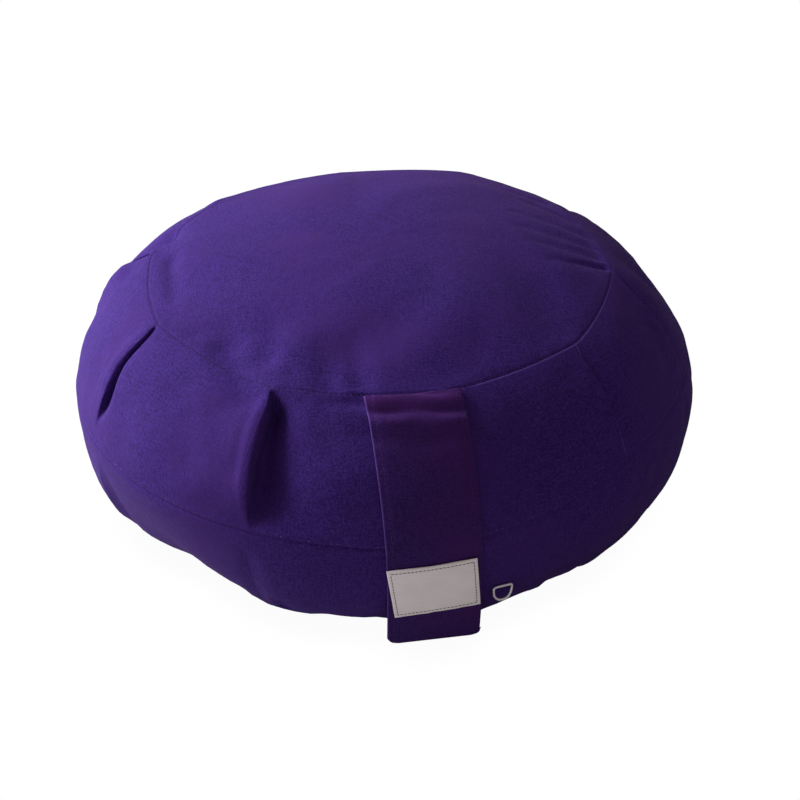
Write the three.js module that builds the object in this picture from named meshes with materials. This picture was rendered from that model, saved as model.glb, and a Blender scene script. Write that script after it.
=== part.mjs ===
// A zafu: a round, firmly filled meditation cushion with a pleated side, lying on its base,
// with a carry strap down its front, a sewn-on label and the wire pull of its hidden zip.
//
// Millimetres, +Z up. The origin is on the floor under the middle of the cushion.
// Angles are in degrees round the cushion from the strap, which is at -Y, towards +X.

import * as THREE from "three";

// Driving dimensions of the filled case
const SEAM_HEIGHT = 134; // the seam between top panel and pleated side, above the floor
const CROWN_RISE = 21; // how far the filled top panel stands above that seam
const CROWN_FULLNESS = 2.4; // exponent of the crown: higher is flatter with rounder edges
const CROWN_CIRCLE = 126; // radius that the crown's rings tend to as they near its middle
const BELLY_HEIGHT = 71; // the seam round the widest level
const SIDE_FULLNESS = 1.75; // superellipse exponent of the pleated upper side
const SHOULDER_TURN = 70; // degrees round that superellipse at which the top seam cuts it off
const LOWER_FULLNESS = 2.2; // superellipse exponent of the plain lower side
const EVEN_SPAN = 36; // degrees from one pleat to the next, were all ten alike
const SEAM_STRAIGHTENING = 2.6; // how far the top seam runs inside its circle between pleats
const FOOT_STRAIGHTENING = 17; // the same at the edge of the flat base
const SEAM_GROOVE = { depth: 1.2, halfWidth: 3 }; // the drawn-in line of the top seam
const BELLY_GROOVE = 1.1; // depth of the line of the belly seam
const FOOT_GROOVE = 1.6; // depth of the line of the bottom seam
const TOP_SCALLOP = { depth: 0.8, reach: 26 }; // the top panel's puffs between pleats
const FLAT_LEAN = 0.75; // puts the flat of a lower panel nearer to its first pleat

// One row for each pleat.
// angle: where it meets the top seam. lean: degrees it drifts by on its way down.
// depth, width: the tuck's hollow. reach: share of the way down to the belly seam.
// seam, lift: the top seam's radius at the pleat, and its height over SEAM_HEIGHT.
// belly, foot: the case's radius below the pleat, at the belly and at the edge of the base.
// flat: how far the lower side between this pleat and the next lies inside its round.
const PLEAT_NAMES = ["angle", "lean", "depth", "width", "reach", "seam", "lift", "belly", "foot", "flat"];
const PLEATS = [
  [-143, 3, 4, 22, 0.8, 131, 0, 174, 124, 0],
  [-107, -7, 6, 8, 0.85, 132, 0, 174, 124, 0],
  [-72.5, 2, 9, 8, 0.8, 132, 0, 174.5, 129, 7],
  [-33.5, 2.5, 14, 46, 0.92, 132, 0, 173.5, 119, -3],
  [4, 0, 0, 12, 0.8, 128, 0, 174, 125, 1.5],
  [42, -5, 1.8, 20, 0.8, 126, 0, 174, 121, 0],
  [81, -16, 1.8, 18, 0.7, 127, 1, 175.5, 126, 0],
  [115, 2, 3, 24, 0.85, 128, 1.5, 175.5, 124, 0],
  [149, -3, 3, 20, 0.75, 131, 2.5, 175, 124, 0],
  [183, 2, 3, 24, 0.85, 128, 0.5, 174, 124, 0],
].map((row) => Object.fromEntries(row.map((value, i) => [PLEAT_NAMES[i], value])));
// Across a tuck: a steep edge and its rolled lip, in millimetres, and a gentle far side, in shares
// of the tuck's opening. lip: its height as a share of the tuck's depth.
const TUCK = { steep: 1.6, lip: 0.075, lipPlace: 3.6, lipWidth: 2.4, gentle: 0.6, tail: 1.4 };
// Down a tuck, in shares of its reach. point: its opening at the top seam, as a share of its full
// width. opens, bend: exponents of how soon it opens and leans. deep, fades: where it is deep.
// bow: degrees by which the edge of a tuck at least fullDepth deep bows out half-way.
const TUCK_RUN = { point: 0.14, opens: 0.8, bend: 0.6, deep: 0.18, fades: 0.6, bow: 1.2, fullDepth: 8 };
const COLUMN_RADIUS = 150; // where the tucks' openings are measured round the case

// The strap, label and zip pull
// waist: how much narrower the strap is half-way down. angle: where on the case it is fitted.
const STRAP = { width: 47.8, waist: 0.4, thickness: 2, gap: 0.5, angle: 4 };
const STRAP_DRIFT = { top: -7.2, bottom: -0.9 }; // how far aside of the middle its two ends lie
const STRAP_RETURN = { from: 0.8, narrow: 0.14, drift: 1.2 }; // how it draws in behind its bend
const STRAP_PUFF = { height: 1.2, turn: 72, spread: 7 }; // the ridge near its sewn-in top end
// the bend at the foot of its loop, and how far it bows out between belly and bend
const STRAP_BEND = { radius: 3, out: 169.4, height: 15.4, turn: 72, bow: 1.7 };
const LABEL = { width: 44.5, height: 30.5, thickness: 1, gap: 0.35, tilt: 4.4, along: 103.6, aside: -0.6 };
const PULL = { width: 10, height: 8.8, corner: 1.3, wire: 1.4, gap: 0.35, angle: 11, turn: 67.5 };

// Stations of the grid over the case
const LOWER_TURNS = [0, 11, 20, 26, 30, 34, 42, 52, 63, 74, 84]; // degrees, base to belly seam
const FOOT_SEAM_TURN = 30;
const UPPER_TURNS = [5, 13, 21, 29, 37, 45, 53, 61, 68, 74, 79, 83, 86.5]; // belly to top seam
const CROWN_SHARES = [0.985, 0.96, 0.92, 0.86, 0.77, 0.65, 0.5, 0.33, 0.16]; // of the seam radius
// columns at each tuck's edge, in millimetres, over its hollow, in shares of its opening, and
// between one tuck's columns and the next's
const EDGE_COLUMNS = [-12, -7, -4.5, -3, -1.8, -0.9, 0];
const HOLLOW_COLUMNS = [0.12, 0.3, 0.55, 0.9, 1.3];
const PANEL_COLUMNS = [0.34, 0.67];

const radians = THREE.MathUtils.degToRad;
const smooth = THREE.MathUtils.smoothstep;
const mix = THREE.MathUtils.lerp;
const evenly = (from, to, steps) => Array.from({ length: steps + 1 }, (_, i) => mix(from, to, i / steps));

const CLOTH = new THREE.MeshStandardMaterial({ color: 0x3d2270, roughness: 0.95, metalness: 0 });
const STRAP_CLOTH = new THREE.MeshStandardMaterial({ color: 0x371d62, roughness: 0.85, metalness: 0 });
const LABEL_CLOTH = new THREE.MeshStandardMaterial({ color: 0xcfc8cc, roughness: 0.8, metalness: 0 });
const WIRE = new THREE.MeshStandardMaterial({ color: 0xc9c9ce, roughness: 0.3, metalness: 1 });

// The middle line of a tuck, in degrees, and its opening at a share of the way down to the belly
function tuckAt(pleat, down) {
  const passed = Math.min(down / pleat.reach, 1);
  const bow = TUCK_RUN.bow * Math.min(pleat.depth / TUCK_RUN.fullDepth, 1) * Math.sin(Math.PI * passed);
  return {
    passed,
    line: pleat.angle + pleat.lean * passed ** TUCK_RUN.bend - bow,
    opening: pleat.width * mix(TUCK_RUN.point, 1, passed ** TUCK_RUN.opens),
  };
}

// The pleat at or before an angle, the next one, how far between them the angle lies, and how
// far a straight or a rounded run between them lies inside the circle there, 1 at its middle.
// down: share of the way to the belly seam.
function panelAt(angle, down) {
  const turned = (a) => THREE.MathUtils.euclideanModulo(a, 360);
  const lines = PLEATS.map((pleat) => tuckAt(pleat, down).line);
  const after = (k) => (k + 1) % lines.length;
  const i = lines.findIndex((line, k) => turned(angle - line) < turned(lines[after(k)] - line));
  const next = after(i);
  const span = turned(lines[next] - lines[i]);
  const share = turned(angle - lines[i]) / span;
  const wide = (span / EVEN_SPAN) ** 2;
  const straight = wide * 4 * share * (1 - share);
  const rounded = wide * Math.sin(Math.PI * share) ** 2;
  return { from: PLEATS[i], to: PLEATS[next], share, straight, rounded };
}

// Sizes of the case at one angle: the top seam, which runs straight from pleat to pleat, the
// belly, the edge of the base, and how far the top panel puffs up beside the seam, from 0 to 1
function sectionAt(angle) {
  const top = panelAt(angle, 0);
  const low = panelAt(angle, 1);
  const blend = smooth(low.share, 0, 1);
  return {
    seam: mix(top.from.seam, top.to.seam, top.share) - SEAM_STRAIGHTENING * top.straight,
    seamHeight: SEAM_HEIGHT + mix(top.from.lift, top.to.lift, smooth(top.share, 0, 1)),
    belly: mix(low.from.belly, low.to.belly, blend),
    foot: mix(low.from.foot, low.to.foot, blend) - FOOT_STRAIGHTENING * low.rounded,
    flat: low.from.flat * Math.sin(Math.PI * low.share ** FLAT_LEAN),
    puffed: Math.min(top.straight, 1),
  };
}

// Points (radius, height) of the smooth case at one angle, by zone
function lowerPoint(section, turn) {
  const t = radians(turn);
  const power = 2 / LOWER_FULLNESS;
  return new THREE.Vector2(
    mix(section.foot, section.belly, Math.sin(t) ** power) - section.flat * Math.sin(2 * t),
    BELLY_HEIGHT * (1 - Math.cos(t) ** power),
  );
}

function upperPoint(section, turn) {
  const t = radians((turn * SHOULDER_TURN) / 90);
  const end = radians(SHOULDER_TURN);
  const power = 2 / SIDE_FULLNESS;
  const atSeam = Math.cos(end) ** power;
  const out = (Math.cos(t) ** power - atSeam) / (1 - atSeam);
  const up = (Math.sin(t) / Math.sin(end)) ** power;
  return new THREE.Vector2(
    mix(section.seam, section.belly, out),
    mix(BELLY_HEIGHT, section.seamHeight, up),
  );
}

function crownPoint(section, share) {
  const top = SEAM_HEIGHT + CROWN_RISE;
  const reach = mix(CROWN_CIRCLE, section.seam, share ** CROWN_FULLNESS);
  return new THREE.Vector2(reach * share, mix(top, section.seamHeight, share ** CROWN_FULLNESS));
}

// The outward direction (radius, height) of a profile function at a station
function outward(curve, section, station) {
  const step = 0.5;
  const along = curve(section, station + step).sub(curve(section, station - step)).normalize();
  return new THREE.Vector2(along.y, -along.x);
}

// How far the tucks draw the upper side in, at an angle and a share of the way down to the belly
function tuckDepth(angle, down, radius) {
  let drawn = 0;
  for (const pleat of PLEATS) {
    const { passed, line, opening } = tuckAt(pleat, down);
    const away = radians(THREE.MathUtils.euclideanModulo(angle - line + 180, 360) - 180) * radius;
    const openSide = (Math.max(away, 0) / (TUCK.gentle * opening)) ** TUCK.tail;
    const hollow = Math.exp(away < 0 ? -((away / TUCK.steep) ** 2) : -openSide);
    const lip = TUCK.lip * Math.exp(-(((away + TUCK.lipPlace) / TUCK.lipWidth) ** 2));
    const strength = smooth(passed, 0, TUCK_RUN.deep) * (1 - smooth(passed, TUCK_RUN.fades, 1));
    drawn += strength * pleat.depth * (hollow - lip);
  }
  return drawn;
}

// Angles of the grid's columns at a share of the way down: they follow each tuck as it opens
function columnAngles(down) {
  const toDegrees = (mm) => THREE.MathUtils.radToDeg(mm / COLUMN_RADIUS);
  const groups = PLEATS.map((pleat) => {
    const { line, opening } = tuckAt(pleat, down);
    const across = [...EDGE_COLUMNS, ...HOLLOW_COLUMNS.map((share) => share * opening)];
    return across.map((mm) => line + toDegrees(mm));
  });
  return groups.flatMap((group, i) => {
    const last = group[group.length - 1];
    const next = i + 1 < groups.length ? groups[i + 1][0] : groups[0][0] + 360;
    return [...group, ...PANEL_COLUMNS.map((share) => mix(last, next, share))];
  });
}

// The rows of the grid, from the edge of the base to the top. Each gives the point (radius,
// height) of the case at an angle.
function lowerRow(turn) {
  return (angle) => {
    const section = sectionAt(angle);
    const point = lowerPoint(section, turn);
    if (turn === FOOT_SEAM_TURN) point.addScaledVector(outward(lowerPoint, section, turn), -FOOT_GROOVE);
    return point;
  };
}

function bellyRow(angle) {
  const point = upperPoint(sectionAt(angle), 0);
  point.x -= BELLY_GROOVE;
  return point;
}

function upperRow(turn) {
  return (angle) => {
    const section = sectionAt(angle);
    const point = upperPoint(section, turn);
    const drawn = tuckDepth(angle, 1 - turn / 90, point.x);
    return point.addScaledVector(outward(upperPoint, section, turn), -drawn);
  };
}

function crownRow(share) {
  return (angle) => {
    const section = sectionAt(angle);
    const point = crownPoint(section, share);
    const inside = section.seam - point.x;
    const groove = SEAM_GROOVE.depth * Math.exp(-((inside / SEAM_GROOVE.halfWidth) ** 2));
    const puff = TOP_SCALLOP.depth * (1 - section.puffed) * Math.exp(-((inside / TOP_SCALLOP.reach) ** 2));
    point.y -= groove + puff * smooth(inside, 0, 2 * SEAM_GROOVE.halfWidth);
    return point;
  };
}

const onCircle = (radius, angle, height) =>
  new THREE.Vector3(radius * Math.sin(radians(angle)), -radius * Math.cos(radians(angle)), height);

// The filled case: a closed grid of rings with a middle point at each end
function caseGeometry() {
  const rows = [
    ...LOWER_TURNS.map((turn) => ({ down: 1, pointAt: lowerRow(turn) })),
    { down: 1, pointAt: bellyRow },
    ...UPPER_TURNS.map((turn) => ({ down: 1 - turn / 90, pointAt: upperRow(turn) })),
    ...[1, ...CROWN_SHARES].map((share) => ({ down: 0, pointAt: crownRow(share) })),
  ];
  const rings = rows.map(({ down, pointAt }) =>
    columnAngles(down).map((angle) => {
      const point = pointAt(angle);
      return onCircle(point.x, angle, point.y);
    }),
  );
  const count = rings[0].length;
  const top = SEAM_HEIGHT + CROWN_RISE;
  const points = [new THREE.Vector3(0, 0, 0), ...rings.flat(), new THREE.Vector3(0, 0, top)];
  const at = (ring, column) => 1 + ring * count + (column % count);
  const faces = [];
  for (let c = 0; c < count; c++) {
    faces.push(0, at(0, c + 1), at(0, c));
    for (let r = 0; r + 1 < rings.length; r++) {
      faces.push(at(r, c), at(r, c + 1), at(r + 1, c + 1));
      faces.push(at(r, c), at(r + 1, c + 1), at(r + 1, c));
    }
    faces.push(at(rings.length - 1, c), at(rings.length - 1, c + 1), points.length - 1);
  }
  return new THREE.BufferGeometry().setFromPoints(points).setIndex(faces);
}

// The strap's route as points of its middle surface (radius, height), each with how far it
// hugs the round of the case: from the top seam over the belly, down free of the lower side to
// a bend, and back in under the case to the bottom seam
function strapRoute() {
  const section = sectionAt(STRAP.angle);
  const rise = STRAP.gap + STRAP.thickness / 2;
  const stations = [];
  const offCase = (curve, turn, out) =>
    curve(section, turn).addScaledVector(outward(curve, section, turn), out);

  for (const turn of evenly(90, 1, 17)) {
    const puff = STRAP_PUFF.height * Math.exp(-(((turn - STRAP_PUFF.turn) / STRAP_PUFF.spread) ** 2));
    stations.push({ point: offCase(upperPoint, turn, rise + puff), hug: 1 });
  }
  const belly = stations[stations.length - 1].point;
  const bendTop = new THREE.Vector2(STRAP_BEND.out, STRAP_BEND.height);
  for (const share of evenly(0, 1, 7).slice(1, -1)) {
    const point = belly.clone().lerp(bendTop, share);
    point.x += STRAP_BEND.bow * Math.sin(Math.PI * share);
    stations.push({ point, hug: 1 - share });
  }
  for (const turn of evenly(0, STRAP_BEND.turn, 6)) {
    const round = new THREE.Vector2(Math.cos(radians(turn)) - 1, -Math.sin(radians(turn)));
    stations.push({ point: bendTop.clone().addScaledVector(round, STRAP_BEND.radius), hug: 0 });
  }
  const bendEnd = stations[stations.length - 1].point;
  const sewnEnd = offCase(lowerPoint, FOOT_SEAM_TURN, rise);
  for (const share of evenly(0, 1, 4).slice(1)) {
    stations.push({ point: bendEnd.clone().lerp(sewnEnd, share), hug: share });
  }

  const last = stations.length - 1;
  stations.forEach((station, i) => {
    const behind = smooth(i / last, STRAP_RETURN.from, 1);
    const waist = (STRAP.waist / STRAP.width) * Math.sin((Math.PI * i) / last);
    station.drift = mix(STRAP_DRIFT.top, STRAP_DRIFT.bottom, i / last) + STRAP_RETURN.drift * behind;
    station.narrowed = 1 - waist - STRAP_RETURN.narrow * behind;
  });
  return stations;
}

// A band of cloth as one closed geometry: its outer face, its inner face and their edges.
// place gives the point at a step along, a place across and a distance out.
function bandGeometry(steps, acrossList, place, thickness) {
  const faces = [];
  const points = [];
  const wide = acrossList.length;
  for (const out of [thickness / 2, -thickness / 2]) {
    for (let s = 0; s <= steps; s++) points.push(...acrossList.map((across) => place(s, across, out)));
  }
  const at = (side, s, a) => (side * (steps + 1) + s) * wide + a;
  const quad = (a, b, c, d) => faces.push(a, b, c, a, c, d);
  for (let s = 0; s < steps; s++) {
    for (let a = 0; a + 1 < wide; a++) {
      quad(at(0, s, a), at(0, s + 1, a), at(0, s + 1, a + 1), at(0, s, a + 1));
      quad(at(1, s, a), at(1, s, a + 1), at(1, s + 1, a + 1), at(1, s + 1, a));
    }
    quad(at(0, s, 0), at(1, s, 0), at(1, s + 1, 0), at(0, s + 1, 0));
    quad(at(0, s, wide - 1), at(0, s + 1, wide - 1), at(1, s + 1, wide - 1), at(1, s, wide - 1));
  }
  for (let a = 0; a + 1 < wide; a++) {
    quad(at(0, 0, a), at(0, 0, a + 1), at(1, 0, a + 1), at(1, 0, a));
    quad(at(0, steps, a), at(1, steps, a), at(1, steps, a + 1), at(0, steps, a + 1));
  }
  return new THREE.BufferGeometry().setFromPoints(points).setIndex(faces);
}

// A point of the strap at a station: across its width, and out from its middle surface
function strapPlace(route, s, across, out) {
  const { point, hug, drift, narrowed } = route[s];
  const aside = across * narrowed + drift;
  const before = route[Math.max(s - 1, 0)].point;
  const after = route[Math.min(s + 1, route.length - 1)].point;
  const along = after.clone().sub(before).normalize();
  const facing = new THREE.Vector2(-along.y, along.x);
  const round = Math.asin(aside / point.x) * hug;
  const back = (point.x - Math.sqrt(point.x ** 2 - aside ** 2)) * hug;
  return new THREE.Vector3(
    aside + facing.x * out * Math.sin(round),
    -(point.x - back) - facing.x * out * Math.cos(round),
    point.y + facing.y * out,
  );
}

function strapGeometry(route) {
  const across = evenly(-STRAP.width / 2, STRAP.width / 2, 8);
  const place = (s, a, out) => strapPlace(route, s, a, out);
  return bandGeometry(route.length - 1, across, place, STRAP.thickness);
}

// The place on the strap's middle surface at a length along it, between two stations
function strapAlong(route, length, across, out) {
  let left = length;
  for (let s = 0; s + 1 < route.length; s++) {
    const step = route[s].point.distanceTo(route[s + 1].point);
    if (left <= step) {
      const next = strapPlace(route, s + 1, across, out);
      return strapPlace(route, s, across, out).lerp(next, left / step);
    }
    left -= step;
  }
  return strapPlace(route, route.length - 1, across, out);
}

// The label lies on the strap's outer face, sewn on a little askew
function labelGeometry(route) {
  const rows = evenly(-LABEL.height / 2, LABEL.height / 2, 6);
  const across = evenly(-LABEL.width / 2, LABEL.width / 2, 8);
  const rise = STRAP.thickness / 2 + LABEL.gap + LABEL.thickness / 2;
  const skew = Math.tan(radians(LABEL.tilt));
  const place = (r, a, out) => {
    const along = LABEL.along + rows[r] - a * skew;
    return strapAlong(route, along, LABEL.aside + a + rows[r] * skew, rise + out);
  };
  return bandGeometry(rows.length - 1, across, place, LABEL.thickness);
}

// The line of the zip pull's wire: an upright D hanging from its straight bar at the origin
function pullOutline() {
  const half = PULL.width / 2;
  const low = -PULL.height;
  const { corner } = PULL;
  const at = (x, y) => new THREE.Vector3(x, y, 0);
  const outline = new THREE.CurvePath();
  outline.add(new THREE.LineCurve3(at(-half + corner, 0), at(half - corner, 0)));
  outline.add(new THREE.QuadraticBezierCurve3(at(half - corner, 0), at(half, 0), at(half, -corner)));
  for (const side of [1, -1]) {
    const round = [at(half, -corner), at(half, low * 0.75), at(half * 0.6, low), at(0, low)];
    if (side < 0) round.reverse().forEach((point) => (point.x *= side));
    outline.add(new THREE.CubicBezierCurve3(...round));
  }
  outline.add(new THREE.QuadraticBezierCurve3(at(-half, -corner), at(-half, 0), at(-half + corner, 0)));
  return outline;
}

// Round wire all along that line, closed on itself
function pullGeometry() {
  const outline = pullOutline();
  const steps = 44;
  const sides = 8;
  const points = [];
  const faces = [];
  for (let i = 0; i < steps; i++) {
    const middle = outline.getPointAt(i / steps);
    const along = outline.getTangentAt(i / steps);
    const inward = new THREE.Vector3(along.y, -along.x, 0).normalize();
    for (let k = 0; k < sides; k++) {
      const a = (2 * Math.PI * k) / sides;
      const point = middle.clone().addScaledVector(inward, (PULL.wire / 2) * Math.cos(a));
      point.z = (PULL.wire / 2) * Math.sin(a);
      points.push(point);
      const here = i * sides;
      const next = ((i + 1) % steps) * sides;
      const turn = (k + 1) % sides;
      faces.push(here + k, next + turn, here + turn);
      faces.push(here + k, next + k, next + turn);
    }
  }
  return new THREE.BufferGeometry().setFromPoints(points).setIndex(faces);
}

function named(name, geometry, material) {
  const mesh = new THREE.Mesh(geometry, material);
  mesh.name = name;
  geometry.computeVertexNormals();
  return mesh;
}

const cushion = new THREE.Group();
const route = strapRoute();
cushion.add(named("filled_case", caseGeometry(), CLOTH));
cushion.add(named("carry_strap", strapGeometry(route), STRAP_CLOTH));
cushion.add(named("sewn_label", labelGeometry(route), LABEL_CLOTH));

// The pull hangs upright, its bar against the lower side
const seat = new THREE.Group();
seat.rotation.z = radians(PULL.angle);
const pullSection = sectionAt(PULL.angle);
const pullFacing = outward(lowerPoint, pullSection, PULL.turn);
const bar = lowerPoint(pullSection, PULL.turn).addScaledVector(pullFacing, PULL.wire / 2 + PULL.gap);
const pull = named("zip_pull", pullGeometry(), WIRE);
pull.position.set(0, -bar.x, bar.y);
pull.rotation.x = Math.PI / 2;
seat.add(pull);
cushion.add(seat);

export default cushion;
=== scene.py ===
"""A zafu: a round, firmly filled meditation cushion with a pleated side, dressed round its solids.

Sizes are in millimetres until a mesh is made, and meshes are in metres. The origin is on the floor
under the middle of the cushion, with +Z up. Angles are degrees round the cushion from the strap,
which is at -Y, towards +X. A level says how far down the case a place is: -1 is the middle of the
top, 0 the top seam, 1 the widest place and 2 the edge of the base.
"""

import math

import bpy
import numpy as np
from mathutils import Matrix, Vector


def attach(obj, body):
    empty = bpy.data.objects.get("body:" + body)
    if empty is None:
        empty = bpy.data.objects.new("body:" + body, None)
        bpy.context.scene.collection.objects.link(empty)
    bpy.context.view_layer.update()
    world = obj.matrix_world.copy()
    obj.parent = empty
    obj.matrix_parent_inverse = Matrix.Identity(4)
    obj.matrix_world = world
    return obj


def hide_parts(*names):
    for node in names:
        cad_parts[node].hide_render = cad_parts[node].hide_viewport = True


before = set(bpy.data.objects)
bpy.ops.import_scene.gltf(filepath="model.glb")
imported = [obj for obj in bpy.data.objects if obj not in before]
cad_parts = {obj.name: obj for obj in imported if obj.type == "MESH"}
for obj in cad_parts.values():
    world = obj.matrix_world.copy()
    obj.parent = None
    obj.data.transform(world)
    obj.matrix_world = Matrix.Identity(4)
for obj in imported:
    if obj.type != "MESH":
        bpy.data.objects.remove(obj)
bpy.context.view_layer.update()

MM = 0.001
BODY = "root"

# The filled case, as its solid has it
SEAM_HEIGHT = 134
CROWN_RISE = 21
CROWN_FULLNESS = 2.4
CROWN_CIRCLE = 126
BELLY_HEIGHT = 71
SIDE_FULLNESS = 1.75
SHOULDER_TURN = 70  # where on the side's superellipse the top seam lies
LOWER_FULLNESS = 2.2
EVEN_SPAN = 36
SEAM_STRAIGHTENING = 2.6
FOOT_STRAIGHTENING = 17
FLAT_LEAN = 0.75  # puts the flat of the lower side nearer to its first pleat
TOP_SCALLOP = {"depth": 0.8, "reach": 26, "start": 7}
FOOT_SEAM_TURN = 30
FOOT_SEAM_LEVEL = 2 - FOOT_SEAM_TURN / 90

# One row for each pleat, as on the solid: where it meets the top seam and how it leans, the tuck's
# depth, width and reach down, the case's sizes below it, and how far the lower side lies in after it
PLEAT_NAMES = ("angle", "lean", "depth", "width", "reach", "seam", "lift", "belly", "foot", "flat")
PLEAT_ROWS = (
    (-143, 3, 4, 22, 0.8, 131, 0, 174, 124, 0),
    (-107, -7, 6, 8, 0.85, 132, 0, 174, 124, 0),
    (-72.5, 2, 9, 8, 0.8, 132, 0, 174.5, 129, 7),
    (-33.5, 2.5, 14, 46, 0.92, 132, 0, 173.5, 119, -3),
    (4, 0, 0, 12, 0.8, 128, 0, 174, 125, 1.5),
    (42, -5, 1.8, 20, 0.8, 126, 0, 174, 121, 0),
    (81, -16, 1.8, 18, 0.7, 127, 1, 175.5, 126, 0),
    (115, 2, 3, 24, 0.85, 128, 1.5, 175.5, 124, 0),
    (149, -3, 3, 20, 0.75, 131, 2.5, 175, 124, 0),
    (183, 2, 3, 24, 0.85, 128, 0.5, 174, 124, 0),
)
PLEATS = [dict(zip(PLEAT_NAMES, row)) for row in PLEAT_ROWS]
# Across a tuck: a steep edge in millimetres and a gentle far side in shares of its opening, and the
# edge's rolled lip, as high as a share of the depth
TUCK = {"steep": 1.3, "gentle": 0.6, "tail": 1.4}
TUCK_LIP = {"height": 0.075, "place": -3.6, "half_width": 2.4}
# Down a tuck, in shares of its reach. point: its opening at the top seam, as a share of its width.
# opens, bend: exponents of how soon it opens and leans. deep: where it deepens and fades.
TUCK_RUN = {"point": 0.14, "opens": 0.8, "bend": 0.6, "deep": (0, 0.18, 0.6, 1)}
# A full tuck's line bows by some degrees, and its edge hangs over the hollow
FULL_TUCK = {"depth": 8, "bow": 1.2}
TUCK_FOLD = {"height": 3.6, "place": -2.2, "half_width": 1.6}
# Beside its edge the panel swells, by a share of the tuck's opening, over a reach in millimetres
TUCK_SWELL = {"share": 0.075, "reach": 30}
COLUMN_RADIUS = 150

# Fine relief of the case, in millimetres
TOP_SEAM = {"height": -0.4, "half_width": 0.8}
FLAT_SEAM = (81, 87, 128, 134)  # angles where the top seam begins to fade, hardly shows and returns
SEAM_ALLOWANCE = {"height": 0.15, "place": 5.5, "half_width": 3.0}  # its roll under the top panel
BELLY_SEAM = {"height": -0.75, "half_width": 0.8}
BELLY_RIDGE = {"height": 0.4, "place": 2.0, "half_width": 1.4}  # over the seam, with its stitches
BELLY_SEAM_LEVELS = ((-180, 0.93), (0, 0.93), (24, 0.82), (40, 0.73), (60, 0.7), (120, 0.8), (180, 0.93))
FOOT_SEAM = {"height": -1.8, "half_width": 1.6}
FOOT_FADE = 0.12  # levels over which the relief fades out at the edge of the base
# The filling's unevenness: waves round and down the case, growing away from the seams and the middle
UNEVEN = {"seed": 11, "waves": 9, "round": (3, 12), "down": (0.6, 2.4), "height": 0.55}
UNEVEN_GROWS = {"off_seams": (2, 30), "off_middle": (-0.9, -0.3)}

# Creases and dents: from one angle and level to another, how deep and how wide
CREASES = (
    (79.5, -0.03, 74, -0.28, 1.8, 2.6),
    (84, -0.05, 86, -0.33, 1.6, 2.8),
    (90, -0.06, 99, -0.36, 1.5, 3.0),
    (97, -0.03, 112, -0.3, 1.4, 3.2),
    (107, -0.02, 126, -0.16, 1.2, 3.2),
    (119, -0.02, 137, -0.12, 1.0, 3.2),
    (88, 0.25, 84, 0.55, 2.5, 12.0),
    (98, 0.48, 90, 0.6, 3.0, 10.0),
    (-52, -0.08, -38, 0.1, 4.0, 9.0),
    (-40, -0.1, -45, -0.25, 2.6, 7.0),
    (-62, -0.05, -58, -0.12, 1.6, 5.0),
    (-22, -0.04, -26, -0.22, 2.2, 7.0),
    (-15, -0.05, -19, -0.24, 2.4, 6.0),
    (-101, -0.09, -80, -0.09, 2.4, 4.5),
    (-16.4, -0.01, -21.3, -0.07, -1.6, 2.2),
    (-14.5, 0.06, -20, 0.05, 2.6, 4.0),
    (-38.5, 0.08, -40, 0.4, 0.5, 1.4),
    (-117, 0.05, -115, 0.5, 7.0, 9.0),
    (-107, 0.3, -106, 0.52, -3.4, 9.0),
    (-102, 0.7, -97, 0.84, 3.2, 10.0),
    (-30, 0.66, -17, 0.8, 3.0, 13.0),
    (-28.2, 1.42, -26.4, 1.42, 2.6, 3.0),
    (-28.2, 1.27, -18.5, 1.23, 0.5, 1.4),
    (-20, 1.62, -21, 1.42, 1.6, 4.0),
    (-38, 1.62, -37, 1.45, 1.5, 4.5),
    (33, 1.62, 34, 1.4, 1.8, 4.0),
    (48, 1.62, 49, 1.38, 1.8, 4.5),
    (-72, 1.56, -65, 1.63, 3.5, 9.0),
    (38, 1.46, 30, 1.5, 2.4, 9.0),
    (-13.6, 1.5, -11, 1.5, -2.0, 7.0),
    (20, 1.45, 18, 1.45, -2.4, 8.0),
    (-28, 1.53, -23, 1.53, 1.4, 7.0),
    (-29, 1.56, -28, 1.5, 5.0, 2.6),
)
CREASE_FADE = 0.4  # what is left of a crease at its far end

# Where a painted highlight makes the canvas paler: beside the top seam over a span of angles, and
# beside the lines of some tucks, found by their angles, over a span of the way down
SEAM_PAINTED_HIGHLIGHT = {"height": 0.55, "place": -0.9, "half_width": 0.45}
SEAM_PAINTED_HIGHLIGHT_SPAN = (11, 13, 74, 80)
TUCK_PAINTED_HIGHLIGHTS = {42: 0.8, 81: 0.6}
TUCK_EDGE_PAINTED_HIGHLIGHT = {"place": -0.6, "half_width": 0.6}
TUCK_EDGE_PAINTED_HIGHLIGHT_SPAN = (0, 0.05, 0.7, 1)

# The filling's push, by a cloth simulation on a coarser case that is some millimetres smaller, with a
# little more cloth. share: what is kept of its changes round the case. cap: the most of it, in or out.
SETTLE = {"top": -0.96, "rows": 46, "columns": 144, "smaller": 1.2, "share": 0.4, "cap": 1.2, "frames": 20}
SETTLE_CLOTH = {"use_pressure": True, "uniform_pressure_force": 4.0, "shrink_min": -0.02}
SETTLE_CLOTH |= {"vertex_group_mass": "held", "quality": 5, "tension_stiffness": 8}
# How near a seam the canvas is held, in levels, and how near a tuck, in millimetres
SETTLE_HELD = {"level": 0.04, "fade": 0.16, "tuck_before": 8, "tuck_fade": 14}
SETTLE_LEAST_FREE = 0.05  # for a row that is held nearly all round

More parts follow.
